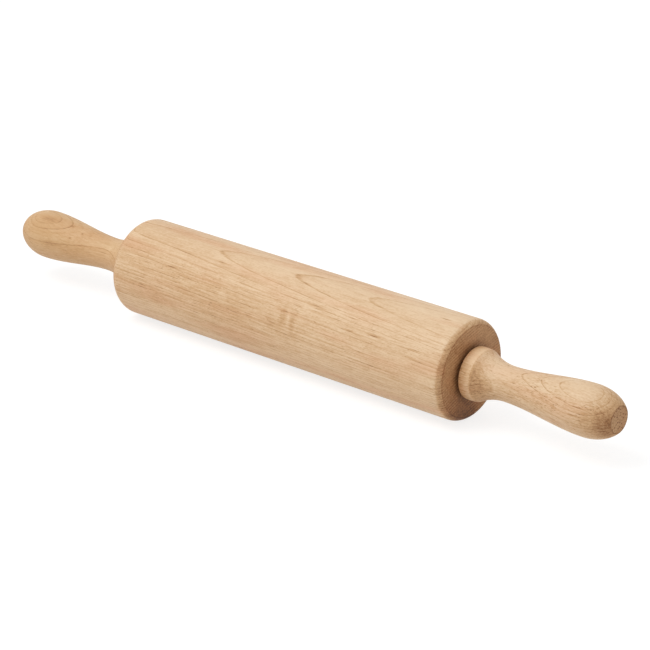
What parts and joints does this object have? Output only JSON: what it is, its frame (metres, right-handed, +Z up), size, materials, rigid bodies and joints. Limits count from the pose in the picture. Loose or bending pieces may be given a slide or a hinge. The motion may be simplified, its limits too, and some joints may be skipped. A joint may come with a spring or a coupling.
{
  "type": "rolling pin",
  "caption": "Beech rolling pin: a straight barrel that turns on ball bearings round a steel axle, with a turned handle at each end, for rolling out dough and pastry.",
  "frame": {"origin": "centre of the barrel, on the axis that it turns about", "axes": "+X along the axle towards the right handle, +Z up, -Y towards the viewer who sees the right handle on the right"},
  "size_m": [0.457, 0.06, 0.06],
  "materials": {
    "barrel_beech": "steamed beech, sanded fine and left without varnish",
    "handle_beech": "steamed beech, turned, sanded fine and left without varnish",
    "plug_beech": "beech end grain, sanded flush",
    "drawn_steel": "bright drawn steel rod",
    "zinc_plated_steel": "bright zinc plating",
    "bearing_steel": "ground hardened steel",
    "polished_steel": "polished hardened steel",
    "shield_steel": "pressed sheet steel",
    "cage_nylon": "moulded natural nylon",
    "blue_nylon": "moulded blue nylon"
  },
  "bodies": {
    "axle_and_handles": {"axle_rod": "drawn_steel", "left_handle": "handle_beech", "left_end_plug": "plug_beech", "left_lock_nut": "zinc_plated_steel", "left_nut_insert": "blue_nylon", "left_nut_washer": "zinc_plated_steel", "left_spacer": "zinc_plated_steel", "left_inner_race": "bearing_steel", "right_handle": "handle_beech", "right_end_plug": "plug_beech", "right_lock_nut": "zinc_plated_steel", "right_nut_insert": "blue_nylon", "right_nut_washer": "zinc_plated_steel", "right_spacer": "zinc_plated_steel", "right_inner_race": "bearing_steel"},
    "barrel": {"barrel": "barrel_beech", "left_outer_race": "bearing_steel", "left_inboard_shield": "shield_steel", "left_outboard_shield": "shield_steel", "right_outer_race": "bearing_steel", "right_inboard_shield": "shield_steel", "right_outboard_shield": "shield_steel"},
    "left_ball_set": {"left_balls": "polished_steel", "left_cage": "cage_nylon"},
    "right_ball_set": {"right_balls": "polished_steel", "right_cage": "cage_nylon"}
  },
  "joints": [
    {"name": "barrel_spin", "type": "hinge", "parent": "axle_and_handles", "child": "barrel", "pos_m": [0, 0, 0], "axis": [1, 0, 0], "continuous": true},
    {"name": "left_cage_orbit", "type": "hinge", "parent": "axle_and_handles", "child": "left_ball_set", "pos_m": [-0.124, 0, 0], "axis": [1, 0, 0], "continuous": true},
    {"name": "right_cage_orbit", "type": "hinge", "parent": "axle_and_handles", "child": "right_ball_set", "pos_m": [0.124, 0, 0], "axis": [1, 0, 0], "continuous": true}
  ],
  "couplings": [
    {"joint": "left_cage_orbit", "follows": "barrel_spin", "ratio": 0.6323},
    {"joint": "right_cage_orbit", "follows": "barrel_spin", "ratio": 0.6323}
  ]
}
